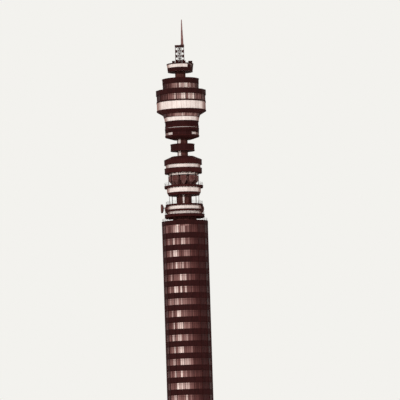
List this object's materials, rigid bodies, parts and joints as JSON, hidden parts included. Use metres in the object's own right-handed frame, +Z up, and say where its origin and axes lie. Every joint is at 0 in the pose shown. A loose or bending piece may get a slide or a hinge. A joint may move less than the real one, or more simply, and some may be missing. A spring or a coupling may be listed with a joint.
{
  "type": "round telecommunications tower, 1:10 scale model",
  "caption": "Slim round telecommunications tower: glazed shaft, open aerial galleries round a core, wide restaurant drum, lattice mast and spike; 1:10 scale model.",
  "frame": {"origin": "middle of the foot, on the underside of the ground slab", "axes": "+Z up along the tower's axis, -Y towards the front with the entrance, +X to the right"},
  "size_m": [1.904, 1.904, 18.606],
  "materials": {
    "concrete": "cast concrete, board-marked, weathered",
    "ground_cladding": "dark stone facing",
    "shaft_glass": "pale bronze-tinted glass",
    "spandrel": "dark bronze-painted panel, satin",
    "mullion": "bronze-painted aluminium, satin",
    "cornice": "dark bronze-painted sheet, satin",
    "deck": "dark painted platform with felted top",
    "pale_cladding": "cream vitreous panel, satin",
    "dark_cladding": "dark brown panel, satin",
    "window_glass": "bronze-tinted glass",
    "steelwork": "brown-painted galvanised steel",
    "aerial_metal": "brown-painted aluminium horn",
    "spike_cover": "mid-brown painted aerial cover, matt",
    "dish_metal": "painted spun dish with a fabric cover",
    "door_glass": "bronze-tinted glass"
  },
  "bodies": {
    "root": {"ground_slab": "concrete", "ground_walls": "ground_cladding", "entrance_frame": "mullion", "entrance_doors": "door_glass", "core_lower": "concrete", "floor_slabs": "concrete", "shaft_glazing": "shaft_glass", "shaft_spandrels": "spandrel", "shaft_mullions": "mullion", "shaft_cornice": "cornice", "shaft_roof": "concrete", "core_upper": "concrete", "gallery_decks": "deck", "gallery_drums": "pale_cladding", "gallery_posts": "steelwork", "horn_aerials": "aerial_metal", "dish_aerials": "dish_metal", "tier_floor": "deck", "tier_walls": "dark_cladding", "tier_glazing": "pale_cladding", "tier_roof": "deck", "viewing_floor": "deck", "viewing_parapet": "pale_cladding", "viewing_glazing": "window_glass", "restaurant_base": "deck", "restaurant_parapet": "pale_cladding", "restaurant_sill": "dark_cladding", "restaurant_glazing": "window_glass", "restaurant_mullions": "mullion", "restaurant_cornice": "cornice", "restaurant_roof": "concrete", "upper_walls": "dark_cladding", "upper_glazing": "window_glass", "upper_roof": "deck", "core_top": "concrete", "top_drum_plates": "deck", "top_drum_walls": "pale_cladding", "equipment_cabinet": "dark_cladding", "mast_legs": "steelwork", "mast_side_front": "steelwork", "mast_side_right": "steelwork", "mast_side_back": "steelwork", "mast_side_left": "steelwork", "mast_head_plate": "steelwork", "spike": "spike_cover"}
  },
  "joints": []
}
